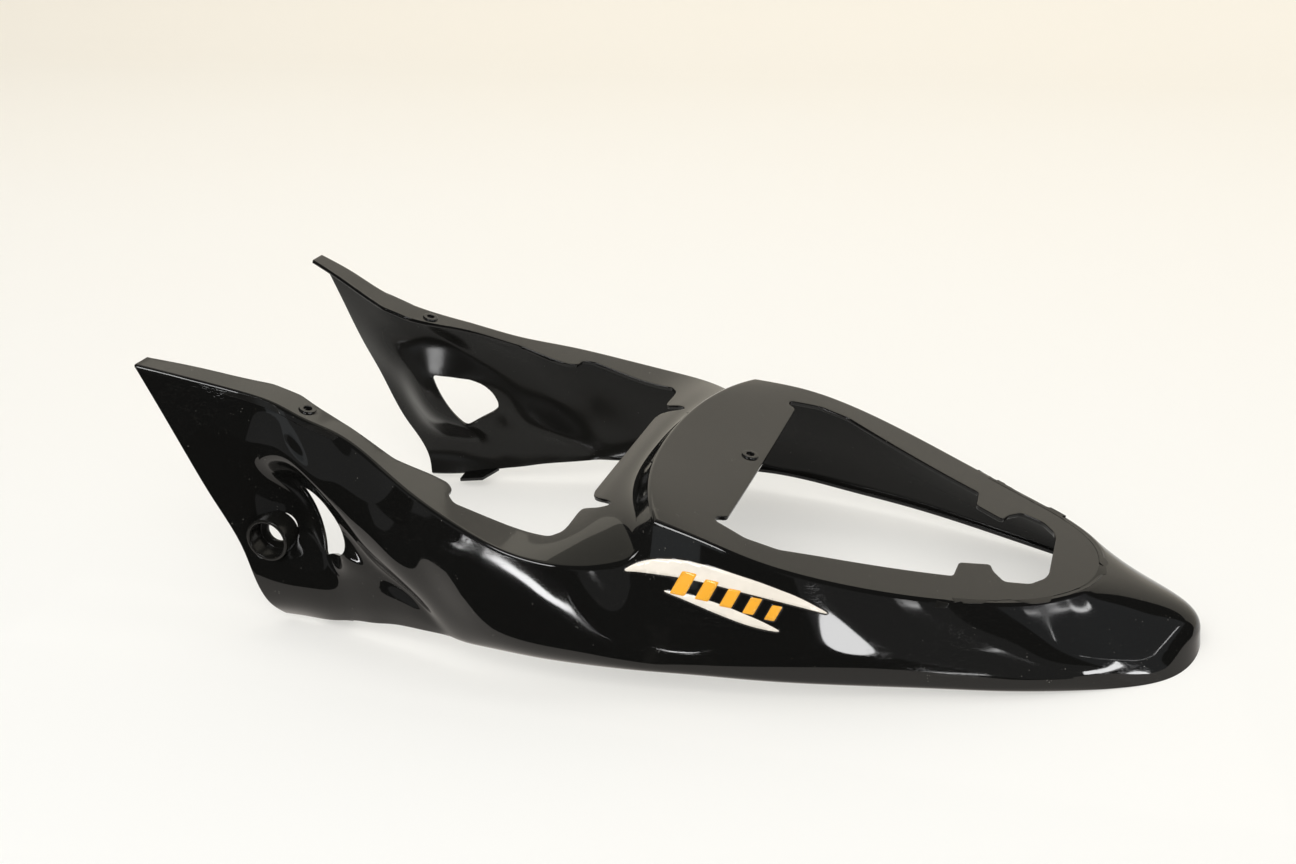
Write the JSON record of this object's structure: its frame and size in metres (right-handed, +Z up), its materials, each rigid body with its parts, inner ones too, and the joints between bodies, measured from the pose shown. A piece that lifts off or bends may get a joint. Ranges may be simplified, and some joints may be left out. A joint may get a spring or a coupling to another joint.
{
  "type": "motorcycle tail fairing",
  "caption": "Gloss black one-piece motorcycle tail fairing with two front wings, side air scoops, a seat opening and an open rear deck.",
  "frame": {"origin": "centre of the bounding box in plan, at the lowest edge, level with the ground the part stands on", "axes": "+X towards the tail, +Y to the right of the motorcycle, +Z up; the wing tips point to -X"},
  "size_m": [0.6991, 0.3374, 0.1875],
  "materials": {
    "shell": "high gloss black outside, as moulded inside"
  },
  "bodies": {
    "root": {"tail_fairing": "shell"}
  },
  "joints": []
}
